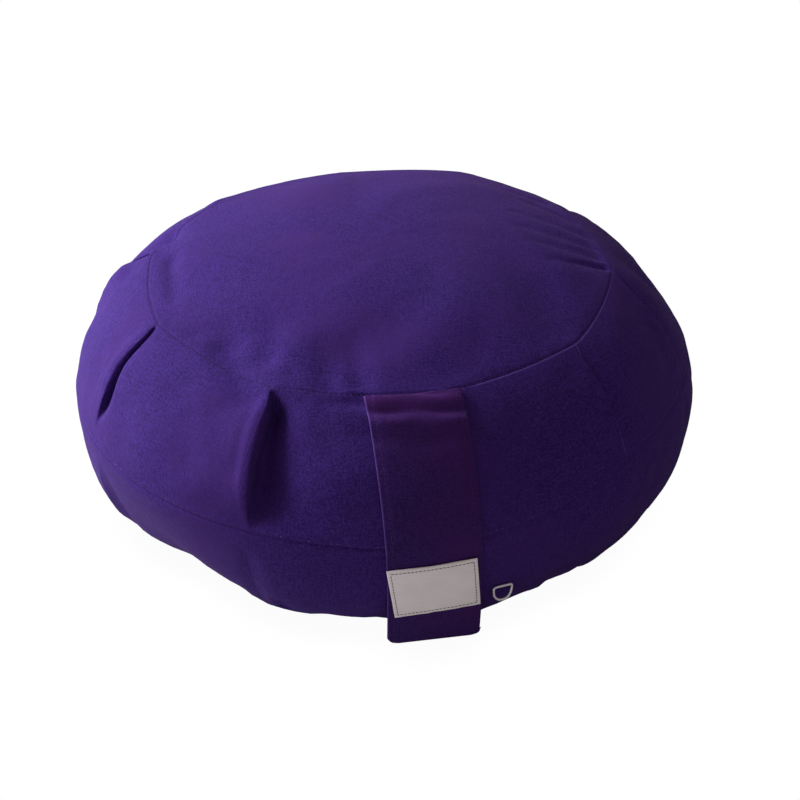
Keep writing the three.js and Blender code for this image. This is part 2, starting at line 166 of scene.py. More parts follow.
# The grid over the case
LOWER_ROWS = 40
UPPER_ROWS = 92
CROWN_ROWS = 54
CROWN_END = -0.985
ROWS_CLOSER = {"lower": 0.07, "upper": 0.06, "gain": 3.0, "crown_gain": 5.0}  # near the seams
BASE_SHARES = (0.25, 0.5, 0.75, 0.93)
FOLD_COLUMNS = ((-12, -4.5, 5), (-4.5, 1, 18))  # from, to and count beside a tuck's edge
HOLLOW_COLUMNS = 14
HOLLOW_REACH = 1.4  # how far they go into the hollow, in openings
HOLLOW_SPREAD = 1.3  # exponent that keeps them closer to the edge
PANEL_COLUMNS = 12

# The strap and label, as their solids have them, and the grids over them
STRAP = {"width": 47.8, "waist": 0.4, "thickness": 2, "gap": 0.5, "angle": 4}
STRAP_DRIFT = {"top": -7.2, "bottom": -0.9}
STRAP_TOP = {"turn": 90, "lag": 2.0, "fade": 20}  # its sewn-in end lies lower on its left side
STRAP_PUFF = {"height": 1.2, "place": 72, "half_width": 7}  # over the case's shoulder, by its turn
STRAP_BEND = {"radius": 3, "out": 169.4, "height": 15.4, "turn": 72, "bow": 1.7}
STRAP_STATIONS = {"upper": 70, "hanging": 40, "bend": 16, "back": 14}
STRAP_PASSED = {"belly": 0.5, "bend": 0.7, "back": 0.88}  # share of the route passed at each
STRAP_COLUMNS = 48
LABEL = {"width": 44.5, "height": 30.5, "thickness": 1, "gap": 0.35}
LABEL |= {"tilt": 4.4, "along": 103.4, "aside": -0.6}
LABEL_SLANT = 0.06  # how far its left edge is drawn in at the bottom, as a share of the half width
LABEL_COLUMNS = 60
LABEL_SIDE_POINTS = 40  # of the line of stitches along each of its sides

# Fine relief of the strap and label. Creases: how far down the strap, how deep, how wide.
STRAP_EDGE = {"round": 0.6, "thin": 0.5, "taper": 6.0}
STRAP_DIP = {"height": -0.12, "place": 3.4, "half_width": 0.7}  # along its stitches
STRAP_CREASES = (
    (0, 1.6, 1.4),
    (5, -0.8, 2.4),
    (11, 1.6, 2.2),
    (17, -1.3, 3.0),
    (26, 0.9, 3.6),
    (58, 0.25, 6),
    (86, 0.3, 5),
)
CREASE_SWAY = {"slope": 0.05, "sway": 0.6, "pace": 0.17, "uneven": 0.25, "uneven_pace": 0.21}
# A painted highlight along the strap's left edge, where it catches the light: how wide and how strong.
STRAP_EDGE_PAINTED_HIGHLIGHT = {"width": 1.0, "strength": 0.5}  # its left edge
STRAP_CORNER = {"radius": 3.5, "passed": 0.79, "spread": 0.1}  # at the bend
STRAP_RETURN = {"from": 0.8, "narrow": 0.14, "drift": 1.2}  # behind the bend
LABEL_EDGE = {"round": 0.4, "thin": 0.4, "taper": 2.5}
LABEL_DIP = {"height": -0.16, "place": 1.8, "half_width": 0.5}
LABEL_PUCKER = {"height": 0.3, "fade": (0.5, 3.0), "even": 0.5, "uneven": 0.25}  # outside its stitches
PUCKER_WAVES = ((0.45, 0.3, 0), (0.8, -0.5, 1))  # turns across and down, and phase, in radians
BAND = {"crowded": 0.999, "even": 0.4, "least": 0.02}  # spacing across a band, and its thinnest edge

# Stitches. raised, sunk: how a stitch's middle and ends lie, in radii. uneven: how far some are drawn in.
STITCH = {"length": 2.0, "pitch": 2.8, "radius": 0.24, "rings": 5, "sides": 6, "uneven": 0.3}
STITCH |= {"raised": 0.35, "sunk": 0.9, "blunt": 0.05, "seed": 3}
BELLY_STITCH = {"radius": 0.16, "uneven": 2.2}
STRAP_STITCH = {"radius": 0.14, "pitch": 2.4}
STRAP_STITCH_ENDS = (4, 3)  # millimetres left bare at the strap's top and bottom ends
LABEL_STITCH = {"radius": 0.18, "pitch": 1.95, "length": 1.85}
PULL_FINISH = {"weld": 0.00001, "rounding": 2}

# The canvas: scales of its noises, how they share in its colour, and its roughness
CLOTH = {"streaks": 160, "flecks": 1000, "fleck_share": 0.55, "heather": (0.36, 0.64), "rumple": 170}
# The last share is how far the painted magenta sheen at a strap's end turns its colour.
CLOTH |= {"patches": 14, "patch_range": (0.45, 0.7), "patch_cast": 0.55, "painted_sheen_cast": 0.6}
CLOTH |= {"roughness": (0.82, 0.96)}

# The photograph's camera: a pixel is one of its 800
FRAME_PX = 800
FOCAL_PX = 1561.6
CENTRE_PX = (383.5, 367.0)
CAMERA = {"azimuth": -9.5, "elevation": 32.07, "distance": 900, "aim": (0, 0, 70)}
SENSOR = 36

# Light and floor, in metres
KEY_AIM = (0, 0, 0.08)
FILL_COLOUR = (1.1, 0.96, 0.95)
FLOOR = {"half": 6.0, "shade_reach": 0.02, "shade": (0.965, 0.965, 0.97), "bounce": 0.6}
FLOOR_SHADE_RANGE = (0.2, 0.95)


def mix(a, b, share):
    return a + (b - a) * share


def smooth(x, low=0.0, high=1.0):
    t = np.clip((x - low) / (high - low), 0, 1)
    return t * t * (3 - 2 * t)


def hump(x, half_width):
    return np.exp(-((x / half_width) ** 2))


def ridge(x, height, half_width, place=0):
    """A rounded ridge, or a groove where its height is below 0."""
    return height * hump(x - place, half_width)


def window(x, start, full, fading, end):
    """Rises from 0 to 1 between start and full, and falls between fading and end."""
    return smooth(x, start, full) * (1 - smooth(x, fading, end))


def running(steps):
    """The running sum of steps, from 0."""
    return np.concatenate([np.zeros_like(steps[:1]), np.cumsum(steps, axis=0)])


def by_run(at, run, vectors):
    """Vectors at lengths along a line that has one for each of its points."""
    return np.stack([np.interp(at, run, vectors[:, k]) for k in range(3)], axis=-1)


def wrapped(angle):
    """The same angle, from -180 to 180."""
    return (angle + 180) % 360 - 180


def on_circle(radius, angle, height):
    a = np.radians(angle)
    return np.stack(np.broadcast_arrays(radius * np.sin(a), -radius * np.cos(a), height), axis=-1)


# The case's formulas
def fullness(pleat):
    return min(pleat["depth"] / FULL_TUCK["depth"], 1)


def tuck_at(pleat, down):
    passed = np.minimum(down / pleat["reach"], 1)
    bow = FULL_TUCK["bow"] * fullness(pleat) * np.sin(np.pi * passed)
    line = pleat["angle"] + pleat["lean"] * passed ** TUCK_RUN["bend"] - bow
    opening = pleat["width"] * mix(TUCK_RUN["point"], 1, passed ** TUCK_RUN["opens"])
    return passed, line, opening


def past_line(angle, line, radius=COLUMN_RADIUS):
    """How many millimetres round the case an angle lies past a tuck's line."""
    return np.radians(wrapped(angle - line)) * radius


def panel_at(angle, down):
    """The pleats before and after each angle, the share between them, and how far in they draw it."""
    lines = np.array([float(tuck_at(pleat, down)[1]) for pleat in PLEATS])
    turned = (angle - lines[0]) % 360 + lines[0]
    before = np.searchsorted(lines, turned, side="right") - 1
    after = (before + 1) % len(lines)
    span = (lines[after] - lines[before]) % 360
    share = (turned - lines[before]) / span
    wide = (span / EVEN_SPAN) ** 2
    straight = wide * 4 * share * (1 - share)
    rounded = wide * np.sin(np.pi * share) ** 2
    return before, after, share, straight, rounded


def section_at(angle):
    def between(name, panel, share):
        values = np.array([pleat[name] for pleat in PLEATS], float)
        return mix(values[panel[0]], values[panel[1]], share)

    top = panel_at(angle, 0)
    low = panel_at(angle, 1)
    blend = smooth(low[2])
    return {
        "seam": between("seam", top, top[2]) - SEAM_STRAIGHTENING * top[3],
        "seam_height": SEAM_HEIGHT + between("lift", top, smooth(top[2])),
        "belly": between("belly", low, blend),
        "foot": between("foot", low, blend) - FOOT_STRAIGHTENING * low[4],
        "flat": between("flat", low, 0) * np.sin(np.pi * low[2] ** FLAT_LEAN),
        "puffed": np.minimum(top[3], 1),
    }


def lower_point(section, turn):
    t = np.radians(turn)
    power = 2 / LOWER_FULLNESS
    radius = mix(section["foot"], section["belly"], np.abs(np.sin(t)) ** power)
    return radius - section["flat"] * np.sin(2 * t), BELLY_HEIGHT * (1 - np.abs(np.cos(t)) ** power)


def upper_point(section, turn):
    t = math.radians(turn * SHOULDER_TURN / 90)
    end = math.radians(SHOULDER_TURN)
    power = 2 / SIDE_FULLNESS
    at_seam = math.cos(end) ** power
    out = (math.cos(t) ** power - at_seam) / (1 - at_seam)
    up = (math.sin(t) / math.sin(end)) ** power
    return mix(section["seam"], section["belly"], out), mix(BELLY_HEIGHT, section["seam_height"], up)


def crown_point(section, share):
    bent = share**CROWN_FULLNESS
    radius = share * mix(CROWN_CIRCLE, section["seam"], bent)
    height = mix(SEAM_HEIGHT + CROWN_RISE, section["seam_height"], bent)
    inside = section["seam"] - radius
    puff = (1 - section["puffed"]) * hump(inside, TOP_SCALLOP["reach"])
    return radius, height - TOP_SCALLOP["depth"] * puff * smooth(inside, 0, TOP_SCALLOP["start"])


def outward(curve, section, station, step=0.5):
    r1, z1 = curve(section, min(station + step, 90))
    r0, z0 = curve(section, max(station - step, 0))
    length = np.hypot(r1 - r0, z1 - z0)
    return (z1 - z0) / length, -(r1 - r0) / length


def tuck_draw(angle, down, radius):
    """How far the tucks draw the upper side in, and how far they pull it aside over their hollows."""
    drawn = np.zeros_like(angle)
    aside = np.zeros_like(angle)
    for pleat in PLEATS:
        passed, line, opening = tuck_at(pleat, down)
        away = past_line(angle, line, radius)
        open_side = np.exp(-((np.maximum(away, 0) / (TUCK["gentle"] * opening)) ** TUCK["tail"]))
        hollow = np.where(away < 0, hump(away, TUCK["steep"]), open_side)
        strength = window(passed, *TUCK_RUN["deep"])
        drawn += strength * pleat["depth"] * (hollow - ridge(away, **TUCK_LIP))
        beside = np.exp(np.minimum(away, 0) / TUCK_SWELL["reach"])
        swell = np.where(away < 0, beside, hump(away, TUCK["steep"]))
        drawn -= strength * fullness(pleat) * TUCK_SWELL["share"] * opening * swell
        aside += ridge(away, **TUCK_FOLD) * strength * fullness(pleat)
    return drawn, aside


def column_angles(down):
    """Angles of the grid's columns at a share of the way down: they follow each tuck as it opens."""
    fold = np.concatenate([np.linspace(a, b, n, endpoint=False) for a, b, n in FOLD_COLUMNS])
    shares = np.linspace(0, 1, HOLLOW_COLUMNS) ** HOLLOW_SPREAD
    groups = []
    for pleat in PLEATS:
        _, line, opening = tuck_at(pleat, down)
        across = np.concatenate([fold, FOLD_COLUMNS[-1][1] + shares * HOLLOW_REACH * opening])
        groups.append(line + np.degrees(across / COLUMN_RADIUS))
    angles = []
    for i, group in enumerate(groups):
        following = groups[(i + 1) % len(groups)][0] + (360 if i + 1 == len(groups) else 0)
        angles += [group, np.linspace(group[-1], following, PANEL_COLUMNS + 2)[1:-1]]
    return np.concatenate(angles)


def clustered(low, high, count, places, width, gain=ROWS_CLOSER["gain"], fine_count=2000):
    """count stations from low to high, closer together near the given places."""
    fine = np.linspace(low, high, fine_count)
    density = 1 + gain * sum(hump(fine - place, width) for place in places)
    passed = running((density[1:] + density[:-1]) / 2)
    return np.interp(np.linspace(0, passed[-1], count), passed, fine)


def case_point(angle, level):
    """Points of the smooth case, tucks included, at angles and one level."""
    section = section_at(angle)
    if level > 1:
        radius, height = lower_point(section, 90 * (2 - level))
        return on_circle(radius, angle, height)
    if level < 0:
        radius, height = crown_point(section, 1 + level)
        return on_circle(radius, angle, height)
    turn = 90 * (1 - level)
    radius, height = upper_point(section, turn)
    drawn, aside = tuck_draw(angle, level, radius)
    out, up = outward(upper_point, section, turn)
    angle = angle + np.degrees(aside / radius)
    return on_circle(radius - drawn * out, angle, height - drawn * up)


def grid_levels():
    lower = clustered(2, 1, LOWER_ROWS, (FOOT_SEAM_LEVEL, 1), ROWS_CLOSER["lower"])[:-1]
    upper = clustered(1, 0, UPPER_ROWS, (0, 1), ROWS_CLOSER["upper"])[:-1]
    crown = clustered(0, CROWN_END, CROWN_ROWS, (0,), ROWS_CLOSER["upper"], ROWS_CLOSER["crown_gain"])
    return np.concatenate([lower, upper, crown])


def grid_normals(points):
    """Outward normals of a grid whose columns wrap."""
    along = np.roll(points, -1, axis=1) - np.roll(points, 1, axis=1)
    up = np.gradient(points, axis=0)
    normals = np.cross(along, up)
    return normals / np.maximum(np.linalg.norm(normals, axis=-1, keepdims=True), 1e-9)


def lengths_along(points):
    """Length from the first point, along a line or along each column of a grid."""
    return running(np.linalg.norm(np.diff(points, axis=0), axis=-1))


def run_at(levels, run, level):
    """Length along each column where it reaches a level, which may differ from column to column."""
    wanted = np.broadcast_to(level, run.shape[1])
    return np.array([np.interp(-at, -levels, column) for at, column in zip(wanted, run.T)])


def belly_seam_level(angles):
    return np.interp(wrapped(angles), *zip(*BELLY_SEAM_LEVELS))


def waves(angle, level):
    """A gentle uneven swell: a few sine waves of seeded phase round and down the case."""
    rng = np.random.default_rng(UNEVEN["seed"])
    total = np.zeros(np.broadcast(angle, level).shape)
    for _ in range(UNEVEN["waves"]):
        round_turns = rng.integers(*UNEVEN["round"])
        down_turns = rng.uniform(*UNEVEN["down"])
        phase = rng.uniform(0, 2 * np.pi)
        total += np.sin(np.radians(angle) * round_turns + 2 * np.pi * down_turns * level + phase)
    return UNEVEN["height"] * total / np.sqrt(UNEVEN["waves"])


def settle_freedom(angles, levels):
    """How free the canvas is to move, from 0 at its seams and tucks to 1."""
    level = levels[:, None] + np.zeros_like(angles)
    free = np.ones_like(level)
    for held in (0, belly_seam_level(angles), FOOT_SEAM_LEVEL):
        free *= smooth(np.abs(level - held), SETTLE_HELD["level"], SETTLE_HELD["fade"])
    for pleat in PLEATS:
        if pleat["depth"] == 0:
            continue
        passed, line, opening = tuck_at(pleat, np.clip(level, 0, 1))
        away = past_line(angles, line)
        before = smooth(-away, SETTLE_HELD["tuck_before"], SETTLE_HELD["tuck_fade"])
        after = smooth(away, opening, opening + SETTLE_HELD["tuck_fade"])
        in_tuck = (level >= 0) & (level <= 1) & (passed < 1)
        free *= np.where(in_tuck, np.maximum(before, after), 1)
    return free


def settle(material):
    """Lets the filling press the canvas out between its seams: levels, angles and mm outward."""
    levels = np.linspace(FOOT_SEAM_LEVEL, SETTLE["top"], SETTLE["rows"])
    angles = np.linspace(-180, 180, SETTLE["columns"], endpoint=False)
    points = np.stack([case_point(angles, level) for level in levels])
    normals = grid_normals(points)
    free = settle_freedom(angles, levels)
    piece = loft("settling", points - normals * SETTLE["smaller"] * free[..., None], material)
    base_middle = free.size
    held = piece.vertex_groups.new(name="held")
    held.add(np.flatnonzero(free.ravel() == 0).tolist() + [base_middle], 1.0, "REPLACE")
    cloth = piece.modifiers.new("cloth", "CLOTH").settings
    for name, value in SETTLE_CLOTH.items():
        setattr(cloth, name, value)
    cloth.effector_weights.gravity = 0
    for frame_number in range(1, SETTLE["frames"] + 1):
        bpy.context.scene.frame_set(frame_number)
    settled = piece.evaluated_get(bpy.context.evaluated_depsgraph_get()).data
    places = np.empty(3 * len(settled.vertices), np.float32)
    settled.vertices.foreach_get("co", places)
    moved = places.reshape(-1, 3)[:base_middle].reshape(points.shape) / MM - points
    mesh = piece.data
    bpy.data.objects.remove(piece)
    bpy.data.meshes.remove(mesh)
    bpy.context.scene.frame_set(1)
    push = np.sum(moved * normals, axis=-1) * free
    even = push.mean(axis=1) / np.maximum(free.mean(axis=1), SETTLE_LEAST_FREE)
    push -= free * even[:, None]
    return levels, angles, np.clip(SETTLE["share"] * push, -SETTLE["cap"], SETTLE["cap"])


def carried(settled, levels, angles):
    """A settled case's push at other levels and angles."""
    from_levels, from_angles, push = settled
    row = np.interp(-levels, -from_levels, np.arange(len(from_levels)))
    first = np.minimum(row.astype(int), len(from_levels) - 2)
    rows = mix(push[first], push[first + 1], (row - first)[:, None])
    full_turn = np.append(from_angles, from_angles[0] + 360)
    turned = wrapped(angles)
    return np.stack([np.interp(at, full_turn, np.append(line, line[0])) for at, line in zip(turned, rows)])


def flat_seam(angles):
    """Where the top seam lies flat and its stitches are pulled in, from 0 to 1."""
    return window(wrapped(angles), *FLAT_SEAM)


def case_relief(angles, levels, points):
    """Seams, the filling's unevenness, creases and dents, in mm outward."""
    run = lengths_along(points)
    from_top = run - run_at(levels, run, 0)
    from_belly = run - run_at(levels, run, belly_seam_level(angles[0]))
    from_foot = run - run_at(levels, run, FOOT_SEAM_LEVEL)
    relief = ridge(from_top, **TOP_SEAM) + ridge(from_top, **SEAM_ALLOWANCE)
    relief *= 1 - flat_seam(angles)
    relief += ridge(from_belly, **BELLY_SEAM) + ridge(from_belly, **BELLY_RIDGE)
    relief += ridge(from_foot, **FOOT_SEAM)
    off_seams = UNEVEN_GROWS["off_seams"]
    grown = smooth(np.abs(from_top), *off_seams) * smooth(np.abs(from_belly), *off_seams)
    grown *= smooth(levels, *UNEVEN_GROWS["off_middle"])[:, None]
    relief += waves(angles, levels[:, None]) * grown
    for angle_a, level_a, angle_b, level_b, depth, width in CREASES:
        start = case_point(np.array([float(angle_a)]), level_a)[0]
        way = case_point(np.array([float(angle_b)]), level_b)[0] - start
        share = np.clip((points - start) @ way / (way @ way), 0, 1)
        away = np.linalg.norm(points - start - share[..., None] * way, axis=-1)
        relief -= depth * mix(1, CREASE_FADE, share) * hump(away, width)
    return relief


def case_painted_highlight(angles, levels, points):
    """How far a painted highlight makes the canvas paler at each point, from 0 to 1."""
    run = lengths_along(points)
    from_top = run - run_at(levels, run, 0)
    painted_highlight = window(wrapped(angles), *SEAM_PAINTED_HIGHLIGHT_SPAN) * ridge(from_top, **SEAM_PAINTED_HIGHLIGHT)
    for pleat in PLEATS:
        passed, line, _ = tuck_at(pleat, np.clip(levels, 0, 1)[:, None])
        edge = ridge(past_line(angles, line), TUCK_PAINTED_HIGHLIGHTS.get(pleat["angle"], 0), **TUCK_EDGE_PAINTED_HIGHLIGHT)
        painted_highlight += window(passed, *TUCK_EDGE_PAINTED_HIGHLIGHT_SPAN) * edge
    return np.minimum(painted_highlight, 1)


def case_grid(settled):
    levels = grid_levels()
    angles = np.stack([column_angles(min(max(level, 0), 1)) for level in levels])
    points = np.stack([case_point(row, level) for row, level in zip(angles, levels)])
    normals = grid_normals(points)
    relief = case_relief(angles, levels, points) + carried(settled, levels, angles)
    relief *= smooth(2 - levels, 0, FOOT_FADE)[:, None]
    points = points + normals * relief[..., None]
    points[..., 2] = np.maximum(points[..., 2], 0)
    return levels, angles, points


# Meshes
def link(name, mesh, material):
    mesh.materials.append(material)
    mesh.shade_smooth()
    piece = bpy.data.objects.new(name, mesh)
    bpy.context.scene.collection.objects.link(piece)
    return piece


def quads_between(low, high):
    """Faces between rings of vertices, whose last columns join their first."""
    corners = [low, np.roll(low, -1, -1), np.roll(high, -1, -1), high]
    return np.stack(corners, axis=-1).reshape(-1, 4)


def loft(name, rings, material, uv=None):
    """A closed mesh over rings of points whose columns wrap, capped at both ends."""
    count, around = rings.shape[:2]
    index = np.arange(count * around).reshape(count, around)
    quads = quads_between(index[:-1], index[1:])
    first, last = index.size, index.size + 1
    vertices = np.vstack([rings.reshape(-1, 3), rings[0].mean(axis=0), rings[-1].mean(axis=0)])
    caps = [[first, b, a] for a, b in zip(index[0], np.roll(index[0], -1))]
    caps += [[last, a, b] for a, b in zip(index[-1], np.roll(index[-1], -1))]
    mesh = bpy.data.meshes.new(name)
    mesh.from_pydata((vertices * MM).tolist(), [], quads.tolist() + caps)
    if uv is not None:
        layer = mesh.uv_layers.new(name="weave")
        layer.uv.foreach_set("vector", uv(quads, np.array(caps), vertices).astype(np.float32).ravel())
    mesh.validate()
    mesh.update()
    return link(name, mesh, material)


def store_painted_highlight(piece, painted_highlight):
    """Stores how far a painted highlight makes each point of a piece paler; its caps' middles are not made
    paler.
    """
    values = np.zeros(len(piece.data.vertices), np.float32)
    values[: painted_highlight.size] = painted_highlight.ravel()
    piece.data.attributes.new("wear_and_painted_highlight", "FLOAT", "POINT").data.foreach_set("value", values)


# Materials
class Graph:
    """A material's nodes, with short ways to add and join them."""

    def __init__(self, name):
        self.material = bpy.data.materials.new(name)
        self.material.use_nodes = True
        self.tree = self.material.node_tree
        self.shader = self.tree.nodes["Principled BSDF"]

    def node(self, kind, inputs=(), **settings):
        made = self.tree.nodes.new("ShaderNode" + kind)
        for name, value in settings.items():
            setattr(made, name, value)
        for key, value in dict(inputs).items():
            self.put(made.inputs[key], value)
        return made

    def put(self, socket, value):
        if isinstance(value, bpy.types.NodeSocket):
            self.tree.links.new(value, socket)
        else:
            socket.default_value = value

    def math(self, operation, *values):
        return self.node("Math", dict(enumerate(values)), operation=operation).outputs[0]

    def ramped(self, value, low, high, to_low=0.0, to_high=1.0):
        inputs = {"Value": value, "From Min": low, "From Max": high, "To Min": to_low, "To Max": to_high}
        return self.node("MapRange", inputs, interpolation_type="SMOOTHSTEP").outputs["Result"]

    def place(self):
        return self.node("TexCoord").outputs["Object"]

    def weave(self):
        return self.node("UVMap", uv_map="weave").outputs["UV"]

    def bump(self, height, strength, distance, **normal):
        inputs = {"Strength": strength, "Distance": distance, "Height": height}
        return self.node("Bump", inputs | normal).outputs["Normal"]

    def noise(self, vector, scale, detail=2.0):
        inputs = {"Vector": vector, "Scale": scale, "Detail": detail}
        return self.node("TexNoise", inputs).outputs["Fac"]

    def stretched(self, vector, scale):
        return self.node("Mapping", {"Vector": vector, "Scale": scale}).outputs["Vector"]

    def summed(self, a, a_share, b, b_share):
        return self.math("ADD", self.math("MULTIPLY", a, a_share), self.math("MULTIPLY", b, b_share))

    def mixed(self, factor, a, b):
        return self.node("Mix", {0: factor, 6: a, 7: b}, data_type="RGBA").outputs[2]

    def set(self, **values):
        for name, value in values.items():
            self.put(self.shader.inputs[name.replace("_", " ")], value)
        return self.material


def rgb(r, g, b):
    return (r, g, b, 1.0)


def weave_height(graph, uv, pitch, soft=0.35):
    """Over and under threads of a plain weave, from 0 to 1."""
    parts = graph.node("SeparateXYZ", {"Vector": uv}).outputs
    across = graph.math("SINE", graph.math("MULTIPLY", parts["X"], math.pi / pitch))
    along = graph.math("SINE", graph.math("MULTIPLY", parts["Y"], math.pi / pitch))
    over = graph.ramped(graph.math("MULTIPLY", across, along), -soft, soft)
    warp = graph.math("MULTIPLY", graph.math("ABSOLUTE", across), over)
    under = graph.math("SUBTRACT", 1.0, over)
    weft = graph.math("MULTIPLY", graph.math("ABSOLUTE", along), under)
    return graph.math("ADD", warp, weft)


def canvas(name, dark, light, warm, painted_highlight_colour, painted_sheen=None, pitch=0.0008):
    """Purple cotton canvas: plain weave, heathered threads, a redder cast here and there.

    painted_sheen: from where to where along a band, in metres, a painted magenta sheen at its end fades
    out.
    """
    graph = Graph(name)
    uv = graph.weave()
    place = graph.place()
    warp = graph.noise(graph.stretched(uv, (1 / pitch, CLOTH["streaks"], 1)), scale=1.0)
    weft = graph.noise(graph.stretched(uv, (CLOTH["streaks"], 1 / pitch, 1)), scale=1.0)
    threads = graph.math("MULTIPLY", graph.math("ADD", warp, weft), 0.5)
    flecks = graph.noise(place, CLOTH["flecks"], detail=3.0)
    heather = graph.summed(threads, 1 - CLOTH["fleck_share"], flecks, CLOTH["fleck_share"])
    colour = graph.mixed(graph.ramped(heather, *CLOTH["heather"]), dark, light)
    patches = graph.noise(place, CLOTH["patches"], detail=3.0)
    cast = graph.ramped(patches, *CLOTH["patch_range"], 0.0, CLOTH["patch_cast"])
    # A painted sheen: the band's end is turned magenta, fading out along it.
    if painted_sheen:
        along = graph.node("SeparateXYZ", {"Vector": uv}).outputs["Y"]
        cast = graph.math("MAXIMUM", cast, graph.ramped(along, *painted_sheen, CLOTH["painted_sheen_cast"], 0.0))
    colour = graph.mixed(cast, colour, warm)
    # Painted highlight: paler along the top seam, some tuck edges and the strap's left edge, where they
    # catch the light.
    wear_and_painted_highlight = graph.node("Attribute", attribute_name="wear_and_painted_highlight").outputs["Fac"]
    colour = graph.mixed(wear_and_painted_highlight, colour, painted_highlight_colour)
    height = weave_height(graph, uv, pitch)
    rumple = graph.noise(place, CLOTH["rumple"], detail=3.0)
    fine = graph.bump(height, strength=0.35, distance=0.0003)
    soft = graph.bump(rumple, strength=0.2, distance=0.0012, Normal=fine)
    roughness = graph.ramped(flecks, 0.3, 0.7, *CLOTH["roughness"])
    graph.set(Sheen_Weight=0.06, Sheen_Roughness=0.4, Sheen_Tint=rgb(0.75, 0.4, 0.9))
    graph.set(Specular_IOR_Level=0.08)
    return graph.set(Base_Color=colour, Roughness=roughness, Normal=soft)


def label_cloth():
    """White satin-woven label cloth, a little grey in places."""
    graph = Graph("label_cloth")
    uv = graph.weave()
    threads = graph.noise(graph.stretched(uv, (90, 2600, 1)), scale=1.0)
    soil = graph.noise(graph.place(), scale=60, detail=3.0)
    tone = graph.summed(threads, 0.5, soil, 0.5)
    colour = graph.mixed(graph.ramped(tone, 0.35, 0.65), rgb(0.90, 0.86, 0.875), rgb(0.98, 0.945, 0.955))
    height = weave_height(graph, uv, pitch=0.0005)
    bump = graph.bump(height, strength=0.25, distance=0.0002)
    roughness = graph.ramped(threads, 0.3, 0.7, 0.55, 0.75)
    graph.set(Sheen_Weight=0.1, Specular_IOR_Level=0.35)
    return graph.set(Base_Color=colour, Roughness=roughness, Normal=bump)


def thread(name, dark, light):
    """Twisted sewing thread."""
    graph = Graph(name)
    tone = graph.noise(graph.place(), scale=900)
    colour = graph.mixed(graph.ramped(tone, 0.35, 0.65), dark, light)
    bump = graph.bump(tone, strength=0.3, distance=0.0002)
    graph.set(Sheen_Weight=0.05, Specular_IOR_Level=0.12, Roughness=0.75)
    return graph.set(Base_Color=colour, Normal=bump)


def bright_wire():
    """Nickel-plated wire, faintly scuffed."""
    graph = Graph("bright_wire")
    wear_and_painted_highlight = graph.noise(graph.place(), scale=900, detail=4.0)
    roughness = graph.ramped(wear_and_painted_highlight, 0.3, 0.7, 0.32, 0.5)
    colour = graph.mixed(graph.ramped(wear_and_painted_highlight, 0.4, 0.7), rgb(0.96, 0.96, 0.97), rgb(0.84, 0.84, 0.86))
    bump = graph.bump(wear_and_painted_highlight, strength=0.08, distance=0.0002)
    graph.set(Metallic=0.8)
    return graph.set(Base_Color=colour, Roughness=roughness, Normal=bump)


# Pieces
def case_uv(angles, points, seam_row):
    """Weave coordinates in metres: flat over the top panel, unrolled round the side."""
    run = lengths_along(points)
    around = angles.shape[1]

    def corners(quads, caps, vertices):
        row, column = quads // around, quads % around
        past_end = (column == 0) & (quads[:, :1] % around == around - 1)
        turned = angles[row, column] + np.where(past_end, 360, 0)
        side = np.stack([np.radians(turned) * COLUMN_RADIUS, run[row, column]], axis=-1) * MM
        flat = vertices[:, :2] * MM
        on_top = (row.min(axis=1) >= seam_row)[:, None, None]
        body = np.where(on_top, flat[quads], side)
        return np.concatenate([body.reshape(-1, 2), flat[caps.ravel()]])

    return corners


def make_case(material):
    levels, angles, points = case_grid(settle(material))
    seam_row = int(np.argmin(np.abs(levels)))
    base_rows = len(BASE_SHARES)
    base = [points[0] * (share, share, 0) for share in BASE_SHARES]
    rings = np.concatenate([np.stack(base), points])
    ring_angles = np.concatenate([angles[:1]] * base_rows + [angles])
    case = loft("cushion_case", rings, material, uv=case_uv(ring_angles, rings, seam_row + base_rows))
    # The base gets no painted highlight; the side and top get the painted highlight along seam and tuck
    # edges.
    no_painted_highlight = np.zeros_like(angles[:base_rows])
    store_painted_highlight(case, np.concatenate([no_painted_highlight, case_painted_highlight(angles, levels, points)]))
    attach(case, BODY)
    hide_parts("filled_case")
    return levels, angles, points


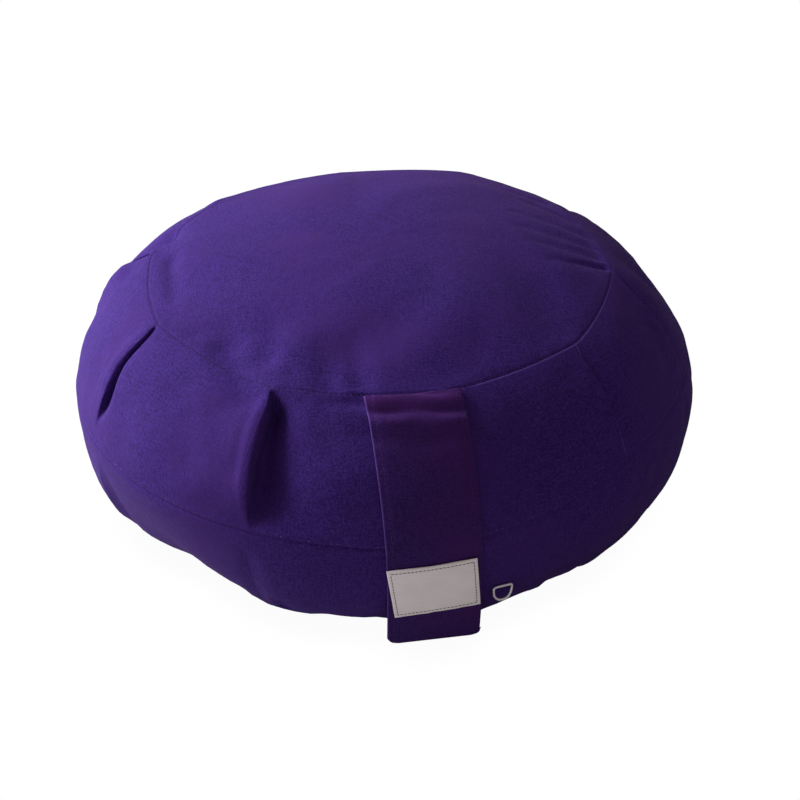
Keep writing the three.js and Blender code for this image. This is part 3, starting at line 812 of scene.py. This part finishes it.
def strap_route():
    """The strap's middle line by length: from the top seam over the belly, down to its bend and back."""
    section = {name: value[0] for name, value in section_at(np.array([float(STRAP["angle"])])).items()}
    rise = STRAP["gap"] + STRAP["thickness"] / 2

    def off_case(curve, turn, out):
        point = np.array(curve(section, turn))
        return point + np.array(outward(curve, section, turn)) * out

    stations = []
    for passed in np.linspace(0, 1, STRAP_STATIONS["upper"]):
        turn = mix(STRAP_TOP["turn"], 1, passed)
        out = rise + ridge(turn, **STRAP_PUFF)
        stations.append((*off_case(upper_point, turn, out), 1, passed * STRAP_PASSED["belly"]))
    belly = np.array(stations[-1][:2])
    bend_top = np.array((STRAP_BEND["out"], STRAP_BEND["height"]))
    for share in np.linspace(0, 1, STRAP_STATIONS["hanging"])[1:-1]:
        bow = STRAP_BEND["bow"] * math.sin(math.pi * share)
        passed = mix(STRAP_PASSED["belly"], STRAP_PASSED["bend"], share)
        stations.append((*(mix(belly, bend_top, share) + (bow, 0)), 1 - share, passed))
    for share in np.linspace(0, 1, STRAP_STATIONS["bend"]):
        turn = math.radians(STRAP_BEND["turn"] * share)
        round_off = STRAP_BEND["radius"] * np.array((math.cos(turn) - 1, -math.sin(turn)))
        passed = mix(STRAP_PASSED["bend"], STRAP_PASSED["back"], share)
        stations.append((*(bend_top + round_off), 0, passed))
    bend_end = np.array(stations[-1][:2])
    sewn_end = off_case(lower_point, FOOT_SEAM_TURN, rise)
    for share in np.linspace(0, 1, STRAP_STATIONS["back"])[1:]:
        stations.append((*mix(bend_end, sewn_end, share), share, mix(STRAP_PASSED["back"], 1, share)))

    radius, height, hug, passed = np.array(stations).T
    run = running(np.hypot(np.diff(radius), np.diff(height)))
    along_r, along_z = np.gradient(radius, run), np.gradient(height, run)
    length = np.hypot(along_r, along_z)
    return {
        "run": run, "radius": radius, "height": height, "hug": hug, "passed": passed,
        "out_r": -along_z / length, "out_z": along_r / length,
    }


def strap_point(route, along, across, out):
    """Points of the strap at lengths along it, places across it and distances out."""
    at = {name: np.interp(along, route["run"], values) for name, values in route.items()}
    passed, radius = at["passed"], at["radius"]
    behind = smooth(passed, STRAP_RETURN["from"], 1)
    waist = STRAP["waist"] / STRAP["width"] * np.sin(np.pi * passed)
    narrowed = 1 - waist - STRAP_RETURN["narrow"] * behind
    aside = across * narrowed + mix(STRAP_DRIFT["top"], STRAP_DRIFT["bottom"], passed)
    aside = aside + STRAP_RETURN["drift"] * behind
    into = np.clip((np.abs(across) - STRAP["width"] / 2) / STRAP_CORNER["radius"] + 1, 0, 1)
    lift = STRAP_CORNER["radius"] * (1 - np.sqrt(1 - into**2))
    lift = lift * hump(passed - STRAP_CORNER["passed"], STRAP_CORNER["spread"])
    turned = np.arcsin(aside / radius) * at["hug"]
    back = (radius - np.sqrt(radius**2 - aside**2)) * at["hug"]
    x = aside + at["out_r"] * out * np.sin(turned)
    y = back - radius - at["out_r"] * out * np.cos(turned)
    return np.stack([x, y, at["height"] + at["out_z"] * out + lift], axis=-1)


def edge_thickness(inset, edge):
    """Share of a band's thickness near its edge: pressed thin, then rounded off."""
    pressed = mix(edge["thin"], 1, smooth(inset, 0, edge["taper"]))
    into_edge = np.clip(1 - inset / edge["round"], 0, 1)
    return pressed * np.sqrt(np.maximum(1 - into_edge**2, BAND["least"]))


def band_section(width, edge, count):
    """A closed loop across a band: places across, share of the half thickness, and which face."""
    half = width / 2
    across = half * np.sin(np.linspace(-0.5, 0.5, count) * np.pi * BAND["crowded"])
    across = mix(across, np.linspace(-half, half, count), BAND["even"])
    thick = edge_thickness(half - np.abs(across), edge)
    return (
        np.concatenate([across, across[::-1]]),
        np.concatenate([thick, -thick[::-1]]),
        np.repeat([1.0, 0.0], count),
    )


def strap_out(along, across, thick, outer):
    """How far out of its middle a point of the strap's faces lies, creases and hems included."""
    dip = ridge(STRAP["width"] / 2 - np.abs(across), **STRAP_DIP)
    out = np.zeros_like(along) + thick * STRAP["thickness"] / 2 + dip * outer
    for place, depth, width in STRAP_CREASES:
        slant = CREASE_SWAY["slope"] * across
        slant = slant + CREASE_SWAY["sway"] * np.sin(across * CREASE_SWAY["pace"] + place)
        uneven = CREASE_SWAY["uneven"] * (np.sin(across * CREASE_SWAY["uneven_pace"] + place) - 1)
        out -= depth * hump(along - place - slant, width) * (1 + uneven)
    return out


def plain_uv(across, along):
    """Weave coordinates in metres of a loft whose rows run along a band; its caps get none."""

    def corners(quads, caps, vertices):
        flat = np.stack(np.broadcast_arrays(across, along), axis=-1).reshape(-1, 2) * MM
        return np.concatenate([flat[quads].reshape(-1, 2), np.zeros((caps.size, 2))])

    return corners


def make_strap(route, material):
    across, thick, outer = band_section(STRAP["width"], STRAP_EDGE, STRAP_COLUMNS)
    along = route["run"][:, None] * np.ones_like(across)
    lag = STRAP_TOP["lag"] * (0.5 - across / STRAP["width"])
    along = along + lag * (1 - smooth(along, 0, STRAP_TOP["fade"]))
    rings = strap_point(route, along, across, strap_out(along, across, thick, outer))
    strap = loft("carry_strap_cloth", rings[:, ::-1], material, uv=plain_uv(across[::-1], along))
    # Paints a highlight along the strap's left edge.
    left = STRAP["width"] / 2 + across
    strap_painted_highlight = STRAP_EDGE_PAINTED_HIGHLIGHT["strength"] * (1 - smooth(left, 0, STRAP_EDGE_PAINTED_HIGHLIGHT["width"])) * outer
    store_painted_highlight(strap, np.tile(strap_painted_highlight[::-1], (len(along), 1)))
    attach(strap, BODY)
    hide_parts("carry_strap")


def label_place(route, row, across, out):
    """A point of the label: row is millimetres down from its middle, on the strap's outer face."""
    skew = math.tan(math.radians(LABEL["tilt"]))
    rise = STRAP["thickness"] / 2 + LABEL["gap"] + LABEL["thickness"] / 2
    across = across * (1 - LABEL_SLANT * (row / LABEL["height"] + 0.5) * (across < 0))
    along = LABEL["along"] + row - across * skew
    return strap_point(route, along, LABEL["aside"] + across + row * skew, rise + out)


def label_out(row, across):
    """Relief of the label's face: sunk along its stitching, puckered outside it."""
    inset = np.minimum(LABEL["width"] / 2 - np.abs(across), LABEL["height"] / 2 - np.abs(row))
    outside = 1 - smooth(inset, *LABEL_PUCKER["fade"])
    uneven = sum(np.sin(across * a + b * row + phase) for a, b, phase in PUCKER_WAVES)
    share = LABEL_PUCKER["even"] + LABEL_PUCKER["uneven"] * uneven
    return LABEL_PUCKER["height"] * outside * share + ridge(inset, **LABEL_DIP)


def make_label(route, material):
    across, thick, outer = band_section(LABEL["width"], LABEL_EDGE, LABEL_COLUMNS)
    row = np.linspace(-0.5, 0.5, LABEL_COLUMNS)[:, None] * LABEL["height"] * np.ones_like(across)
    thick = thick * edge_thickness(LABEL["height"] / 2 - np.abs(row), LABEL_EDGE)
    out = thick * LABEL["thickness"] / 2 + label_out(row, across) * outer
    rings = label_place(route, row, across, out)
    label = loft("woven_label", rings[:, ::-1], material, uv=plain_uv(across[::-1], row))
    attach(label, BODY)
    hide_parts("sewn_label")


def make_stitches(name, line, facing, material, slot, closed=False, **sizes):
    """Short raised stitches along a line of points on cloth that faces the given ways."""
    size = STITCH | sizes
    if closed:
        line, facing = np.vstack([line, line[:1]]), np.vstack([facing, facing[:1]])
    run = lengths_along(line)
    starts = np.arange(0, run[-1] - size["length"], size["pitch"])
    shares = np.linspace(0, 1, size["rings"])
    at = starts[:, None] + shares * size["length"]
    middle = by_run(at, run, line)
    up = by_run(at, run, facing)
    up /= np.linalg.norm(up, axis=-1, keepdims=True)
    aside = np.cross(np.gradient(middle, axis=1), up)
    aside /= np.linalg.norm(aside, axis=-1, keepdims=True)
    swell = size["radius"] * np.sqrt(np.maximum(1 - (2 * shares - 1) ** 4, size["blunt"]))[:, None, None]
    sunk = size["radius"] * size["sunk"] * (2 * shares - 1)[:, None] ** 4
    chance = np.random.default_rng(size["seed"]).random((len(starts), 1, 1))
    drawn_in = size["uneven"] * size["radius"] * chance
    middle = middle + up * (size["radius"] * size["raised"] - sunk - drawn_in)
    turns = 2 * np.pi * np.arange(size["sides"]) / size["sides"]
    round_off = aside[:, :, None] * np.cos(turns)[:, None] + up[:, :, None] * np.sin(turns)[:, None]
    vertices = (middle[:, :, None] + round_off * swell).reshape(-1, 3)
    index = np.arange(len(vertices)).reshape(len(starts), size["rings"], size["sides"])
    quads = quads_between(index[:, :-1], index[:, 1:])
    ends = np.concatenate([index[:, 0, ::-1], index[:, -1]])
    mesh = bpy.data.meshes.new(name)
    mesh.from_pydata((vertices * MM).tolist(), [], quads.tolist() + ends.tolist())
    mesh.update()
    stitches = link(name, mesh, material)
    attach(stitches, BODY)


def line_on_case(points, run, wanted):
    """A line round the case at the wanted length along each column, with the ways it faces."""
    columns = range(points.shape[1])
    grids = (points, grid_normals(points))
    return [np.array([by_run(wanted[c], run[:, c], grid[:, c]) for c in columns]) for grid in grids]


def sew_case(levels, angles, points, dark_thread, light_thread):
    run = lengths_along(points)
    line, facing = line_on_case(points, run, run_at(levels, run, 0))
    seam_row = int(np.argmin(np.abs(levels)))
    line = line - facing * (2 * STITCH["radius"] * flat_seam(angles[seam_row]))[:, None]
    make_stitches("top_seam_stitches", line, facing, dark_thread, "canvas", closed=True)
    belly = run_at(levels, run, belly_seam_level(angles[0]))
    line, facing = line_on_case(points, run, belly + BELLY_RIDGE["place"])
    make_stitches("belly_seam_stitches", line, facing, light_thread, "canvas", closed=True, **BELLY_STITCH)


def sew_strap(route, strap_thread, label_thread):
    inset = STRAP_DIP["place"]
    top_end, bottom_end = STRAP_STITCH_ENDS
    along = np.arange(top_end, route["run"][-1] - bottom_end, 1.0)
    for side, name in ((-1, "left"), (1, "right")):
        across = np.full_like(along, side * (STRAP["width"] / 2 - inset))
        out = strap_out(along, across, edge_thickness(inset, STRAP_EDGE), 1.0)
        line = strap_point(route, along, across, out)
        facing = strap_point(route, along, across, out + 1) - line
        make_stitches(f"strap_stitches_{name}", line, facing, strap_thread, "strap", **STRAP_STITCH)
    inset = LABEL_DIP["place"]
    right, low = LABEL["width"] / 2 - inset, LABEL["height"] / 2 - inset
    corners = np.array([(-right, -low), (right, -low), (right, low), (-right, low), (-right, -low)])
    sides = zip(corners[:-1], corners[1:])
    border = np.concatenate([np.linspace(a, b, LABEL_SIDE_POINTS) for a, b in sides])
    across, row = border.T
    out = LABEL["thickness"] / 2 + label_out(row, across)
    line = label_place(route, row, across, out)
    facing = label_place(route, row, across, out + 1) - line
    make_stitches("label_stitches", line, facing, label_thread, "label", **LABEL_STITCH)


def finish_pull(material):
    """The zip pull keeps its solid, welded and rounded, with a better finish."""
    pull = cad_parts["zip_pull"]
    pull.data.materials.clear()
    pull.data.materials.append(material)
    pull.data.shade_smooth()
    pull.modifiers.new("weld", "WELD").merge_threshold = PULL_FINISH["weld"]
    pull.modifiers.new("round", "SUBSURF").render_levels = PULL_FINISH["rounding"]


# Camera, light and floor
def direction(azimuth, elevation):
    a, e = math.radians(azimuth), math.radians(elevation)
    return Vector((math.sin(a) * math.cos(e), -math.cos(a) * math.cos(e), math.sin(e)))


def look(piece, back):
    """Turns a camera or light against a direction."""
    piece.rotation_euler = (-back).to_track_quat("-Z", "Y").to_euler()
    bpy.context.scene.collection.objects.link(piece)


def make_camera():
    back = direction(CAMERA["azimuth"], CAMERA["elevation"])
    data = bpy.data.cameras.new("camera")
    data.sensor_width = SENSOR
    data.lens = FOCAL_PX / FRAME_PX * SENSOR
    data.shift_x = (FRAME_PX / 2 - CENTRE_PX[0]) / FRAME_PX
    data.shift_y = (CENTRE_PX[1] - FRAME_PX / 2) / FRAME_PX
    camera = bpy.data.objects.new("camera", data)
    camera.location = (Vector(CAMERA["aim"]) + back * CAMERA["distance"]) * MM
    look(camera, back)
    bpy.context.scene.camera = camera


def make_light(name, azimuth, elevation, distance, size, power):
    back = direction(azimuth, elevation)
    data = bpy.data.lights.new(name, "AREA")
    data.shape = "DISK"
    data.size = size
    data.energy = power
    light = bpy.data.objects.new(name, data)
    light.location = Vector(KEY_AIM) + back * distance
    look(light, back)


def shown_white(tree, shown, dim):
    """Joins a shader that the camera sees with one that lights the cushion."""
    mixer = tree.nodes.new("ShaderNodeMixShader")
    path = tree.nodes.new("ShaderNodeLightPath")
    tree.links.new(path.outputs["Is Camera Ray"], mixer.inputs[0])
    tree.links.new(dim, mixer.inputs[1])
    tree.links.new(shown, mixer.inputs[2])
    return mixer.outputs[0]


def make_floor():
    mesh = bpy.data.meshes.new("floor")
    half = FLOOR["half"]
    corners = [(-half, -half, 0), (half, -half, 0), (half, half, 0), (-half, half, 0)]
    mesh.from_pydata(corners, [], [(0, 1, 2, 3)])
    graph = Graph("floor_paper")
    tree = graph.tree
    near = graph.node("AmbientOcclusion", {"Distance": FLOOR["shade_reach"]}, samples=8).outputs["AO"]
    tone = graph.mixed(graph.ramped(near, *FLOOR_SHADE_RANGE), rgb(*FLOOR["shade"]), rgb(1.0, 1.0, 1.0))
    shown = graph.node("Emission", {"Color": tone, "Strength": 1.0}).outputs[0]
    dim = graph.node("BsdfDiffuse", {"Color": rgb(*[FLOOR["bounce"]] * 3)}).outputs[0]
    tree.links.new(shown_white(tree, shown, dim), tree.nodes["Material Output"].inputs["Surface"])
    floor = link("floor", mesh, graph.material)


def make_world(fill):
    world = bpy.data.worlds.new("studio")
    world.use_nodes = True
    tree = world.node_tree
    dim = tree.nodes["Background"]
    dim.inputs["Color"].default_value = rgb(*FILL_COLOUR)
    dim.inputs["Strength"].default_value = fill
    shown = tree.nodes.new("ShaderNodeBackground")
    shown.inputs["Color"].default_value = rgb(1, 1, 1)
    joined = shown_white(tree, shown.outputs[0], dim.outputs[0])
    tree.links.new(joined, tree.nodes["World Output"].inputs["Surface"])
    bpy.context.scene.world = world


make_camera()
make_floor()
make_world(fill=0.265)
make_light("key", azimuth=-116, elevation=25.5, distance=1.15, size=0.95, power=27.6)
bpy.context.scene.view_settings.view_transform = "Standard"

# The colour of the painted highlight along seam, tuck and strap edges.
PAINTED_HIGHLIGHT_COLOUR = rgb(0.13, 0.07, 0.34)
CANVAS = canvas(
    "purple_canvas",
    dark=rgb(0.0235, 0.0082, 0.098),
    light=rgb(0.054, 0.0228, 0.202),
    warm=rgb(0.051, 0.0165, 0.146),
    painted_highlight_colour=PAINTED_HIGHLIGHT_COLOUR,
)
# The strap's canvas has a painted magenta sheen at its top end, full for 5 mm and gone by 20 mm.
STRAP_CANVAS = canvas(
    "strap_canvas",
    dark=rgb(0.024, 0.0085, 0.078),
    light=rgb(0.048, 0.018, 0.146),
    warm=rgb(0.060, 0.012, 0.112),
    painted_highlight_colour=PAINTED_HIGHLIGHT_COLOUR,
    painted_sheen=(0.005, 0.02),
)
DARK_THREAD = thread("dark_thread", rgb(0.010, 0.003, 0.036), rgb(0.026, 0.010, 0.085))
LIGHT_THREAD = thread("light_thread", rgb(0.036, 0.015, 0.13), rgb(0.13, 0.075, 0.34))
STRAP_THREAD = thread("strap_thread", rgb(0.042, 0.013, 0.105), rgb(0.085, 0.026, 0.19))
LABEL_THREAD = thread("label_thread", rgb(0.05, 0.03, 0.07), rgb(0.13, 0.10, 0.14))

case_levels, case_angles, case_points = make_case(CANVAS)
sew_case(case_levels, case_angles, case_points, DARK_THREAD, LIGHT_THREAD)
STRAP_ROUTE = strap_route()
make_strap(STRAP_ROUTE, STRAP_CANVAS)
make_label(STRAP_ROUTE, label_cloth())
sew_strap(STRAP_ROUTE, STRAP_THREAD, LABEL_THREAD)
finish_pull(bright_wire())
